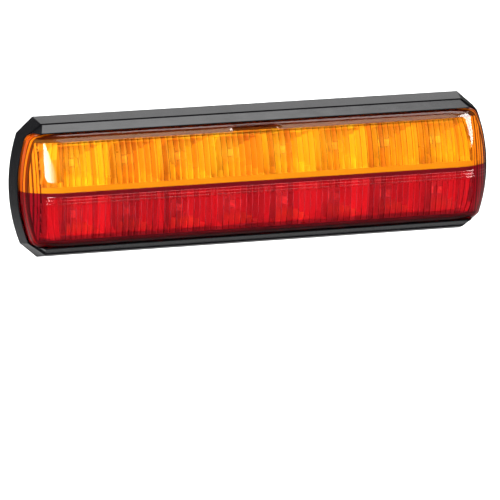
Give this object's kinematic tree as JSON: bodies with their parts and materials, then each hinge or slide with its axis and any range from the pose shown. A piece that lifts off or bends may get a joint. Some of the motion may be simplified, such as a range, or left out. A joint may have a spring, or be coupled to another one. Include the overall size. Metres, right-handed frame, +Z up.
{
  "type": "trailer tail light",
  "caption": "Slimline trailer tail light: black screw-on base with chamfered corners and a snap-in lamp with an amber over red ribbed lens and LED rows.",
  "frame": {"origin": "middle of the flat mounting face at the back of the base", "axes": "+X along the lamp to the right seen from the front, +Y out of the mounting face towards the trailer, +Z up; the lamp shines towards -Y"},
  "size_m": [0.24, 0.0268, 0.068],
  "materials": {
    "black_plastic": "glossy moulded black with fine flow marks",
    "housing_plastic": "satin moulded dark grey",
    "rubber": "matte moulded rubber",
    "steel": "zinc-plated",
    "amber_lens": "clear amber, polished, ribbed inside",
    "red_lens": "clear red, polished, ribbed inside",
    "reflector_white": "bright white moulded reflector",
    "board_white": "white solder mask with fine tracks",
    "led_package": "pale package with a clear dome",
    "chip_black": "black epoxy package",
    "ceramic_white": "fired ceramic"
  },
  "bodies": {
    "base": {"base_bracket": "black_plastic", "mount_bush_left": "steel", "mount_bush_right": "steel", "cable_grommet": "rubber"},
    "lamp": {"lamp_housing": "housing_plastic", "cable_gland": "rubber", "lens_seal": "rubber", "board_screw_1": "steel", "board_screw_2": "steel", "board_screw_3": "steel", "board_screw_4": "steel", "amber_lens": "amber_lens", "red_lens": "red_lens", "amber_reflector": "reflector_white", "red_reflector": "reflector_white", "circuit_board": "board_white", "led_amber_1": "led_package", "led_amber_2": "led_package", "led_amber_3": "led_package", "led_amber_4": "led_package", "led_amber_5": "led_package", "led_amber_6": "led_package", "led_amber_7": "led_package", "led_amber_8": "led_package", "led_red_1": "led_package", "led_red_2": "led_package", "led_red_3": "led_package", "led_red_4": "led_package", "led_red_5": "led_package", "led_red_6": "led_package", "led_red_7": "led_package", "led_red_8": "led_package", "amber_driver_chip": "chip_black", "red_driver_chip": "chip_black", "indicator_diode": "chip_black", "tail_diode": "chip_black", "stop_diode": "chip_black", "surge_suppressor": "chip_black", "indicator_resistor": "ceramic_white", "tail_resistor": "ceramic_white", "stop_resistor": "ceramic_white", "wire_terminal": "ceramic_white"}
  },
  "joints": [
    {"name": "lamp_release", "type": "slide", "parent": "base", "child": "lamp", "axis": [0, -1, 0], "range_m": [0, 0.04]}
  ]
}
